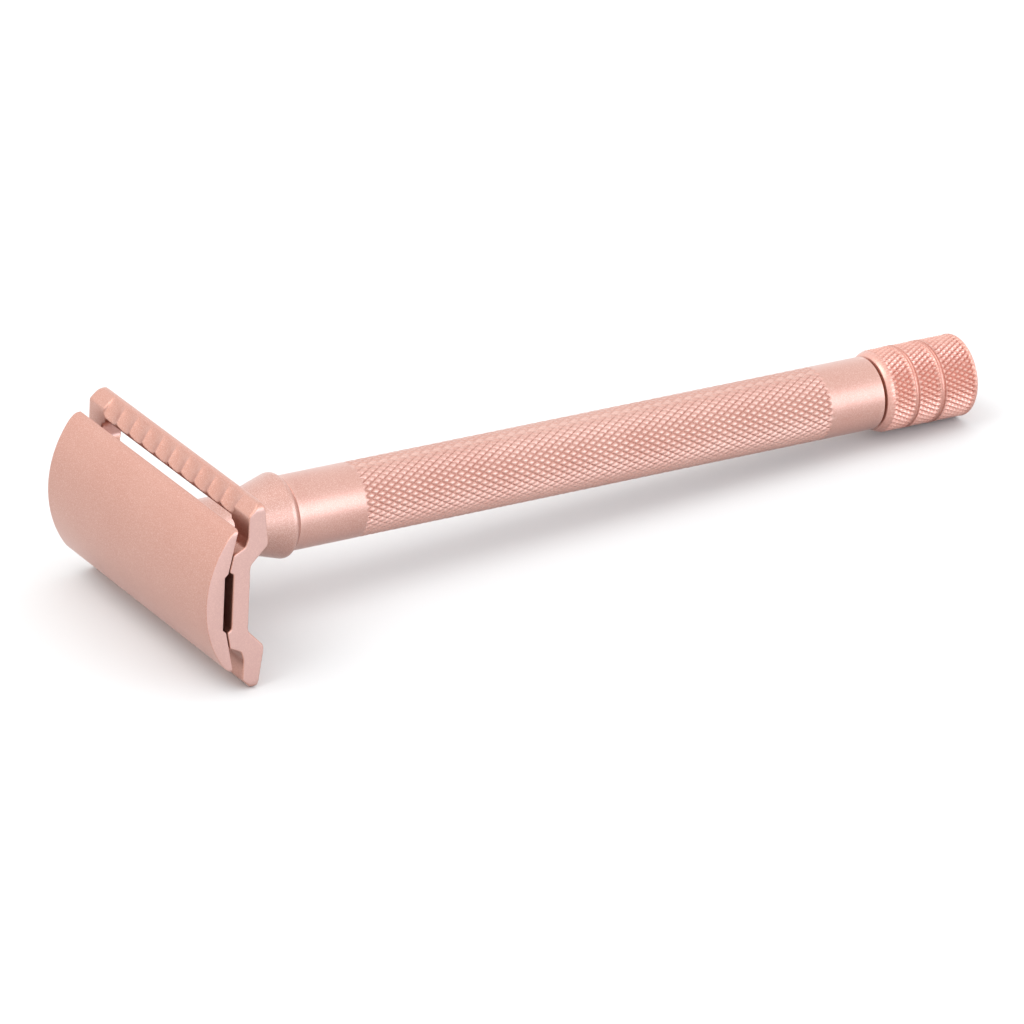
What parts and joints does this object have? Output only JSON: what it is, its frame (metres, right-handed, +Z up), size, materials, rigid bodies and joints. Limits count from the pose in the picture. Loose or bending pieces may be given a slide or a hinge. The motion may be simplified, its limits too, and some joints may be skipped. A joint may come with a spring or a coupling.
{
  "type": "safety razor",
  "caption": "Double-edge safety razor with a scalloped closed-bar guard, a knurled handle and a twist knob that lifts and clamps the cap.",
  "frame": {"origin": "bottom centre of the bounding box of the razor lying on its side", "axes": "+X along the cap's edges, +Y along the handle from the head to the knob, +Z up"},
  "size_m": [0.042, 0.131, 0.0261],
  "materials": {
    "rose_head": "matte bead-blasted rose-gold plating",
    "rose_handle": "satin rose-gold plating over knurling",
    "rose_knob": "satin rose-gold plating over knurling",
    "steel": "turned stainless steel",
    "bronze": "sintered bronze",
    "nylon": "natural nylon",
    "nitrile": "black nitrile"
  },
  "bodies": {
    "handle": {"guard_plate": "rose_head", "neck": "rose_handle", "neck_bush": "bronze", "handle_tube": "rose_handle", "rod_guide": "nylon", "lower_bush": "bronze", "rod_seal": "nitrile", "thrust_washer": "bronze"},
    "knob": {"knob": "rose_knob", "draw_rod": "steel", "rod_socket": "steel", "socket_pin": "steel", "retaining_ring": "steel", "disc_spring": "steel", "knob_screw": "steel", "knob_plug": "rose_knob"},
    "cap": {"cap": "rose_head", "cap_lug_left": "rose_head", "cap_lug_right": "rose_head", "cap_stud": "steel"}
  },
  "joints": [
    {"name": "knob_turn", "type": "hinge", "parent": "handle", "child": "knob", "pos_m": [0, 0.05055, 0.00659], "axis": [0, 0.9982, -0.0594], "range_deg": [0, 3600]},
    {"name": "cap_lift", "type": "slide", "parent": "handle", "child": "cap", "axis": [0, -0.9982, 0.0594], "range_m": [0, 0.008]}
  ],
  "couplings": [
    {"joint": "knob_turn", "follows": "cap_lift", "rad_per_m": 7854}
  ]
}
